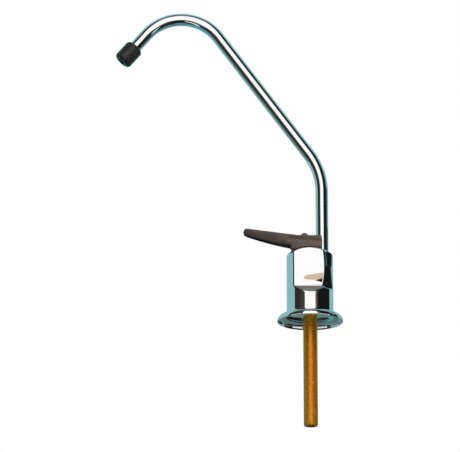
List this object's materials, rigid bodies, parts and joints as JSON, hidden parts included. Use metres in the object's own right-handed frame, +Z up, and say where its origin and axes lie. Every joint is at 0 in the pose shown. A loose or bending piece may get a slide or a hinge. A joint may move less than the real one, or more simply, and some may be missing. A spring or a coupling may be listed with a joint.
{
  "type": "long reach tap",
  "caption": "Deck-mounted drinking-water tap with a tall swivelling gooseneck spout, a press lever, a domed base plate and a long threaded shank.",
  "frame": {"origin": "centre of the base plate's rim, on the deck surface, on the axis of the shank and body", "axes": "+Z up along the body; at rest the spout and the lever point along -X; the spout's plane is XZ"},
  "size_m": [0.1771, 0.0508, 0.3346],
  "materials": {
    "chrome": "bright chrome plating on brass",
    "raw_brass": "unplated threaded brass, orange-brown",
    "turned_brass": "turned brass",
    "steel": "stainless steel",
    "lever_plastic": "dark brown-grey moulded plastic",
    "bush_plastic": "black acetal",
    "nozzle_rubber": "satin black rubber",
    "seal_rubber": "black rubber"
  },
  "bodies": {
    "base": {"tap_body": "chrome", "escutcheon": "chrome", "body_gasket": "seal_rubber", "shank": "raw_brass", "valve_seat": "turned_brass", "bonnet": "turned_brass", "bonnet_oring": "seal_rubber", "spring_washer": "steel", "return_spring": "steel", "spout_retainer": "steel", "guide_bush": "bush_plastic"},
    "spout": {"spout_tube": "chrome", "spout_sleeve": "turned_brass", "spout_oring_lower": "seal_rubber", "spout_oring_upper": "seal_rubber", "outlet_nozzle": "nozzle_rubber"},
    "lever": {"lever": "lever_plastic"},
    "stem": {"stem": "turned_brass", "stem_cap": "lever_plastic", "stem_oring_lower": "seal_rubber", "stem_oring_upper": "seal_rubber", "seat_washer": "seal_rubber", "washer_screw": "steel"}
  },
  "joints": [
    {"name": "spout_swivel", "type": "hinge", "parent": "base", "child": "spout", "pos_m": [0.0097, 0, 0.06], "axis": [0, 0, 1], "continuous": true},
    {"name": "lever_press", "type": "hinge", "parent": "base", "child": "lever", "pos_m": [-0.0127, 0, 0.05856], "axis": [0, -1, 0], "range_deg": [0, 12]},
    {"name": "stem_lift", "type": "slide", "parent": "base", "child": "stem", "axis": [0, 0, 1], "range_m": [0, 0.00234], "stiffness_N_per_m": 120, "springref_m": -0.0025, "deforming": ["return_spring"]}
  ],
  "couplings": [
    {"joint": "lever_press", "follows": "stem_lift", "rad_per_m": 89.4}
  ]
}
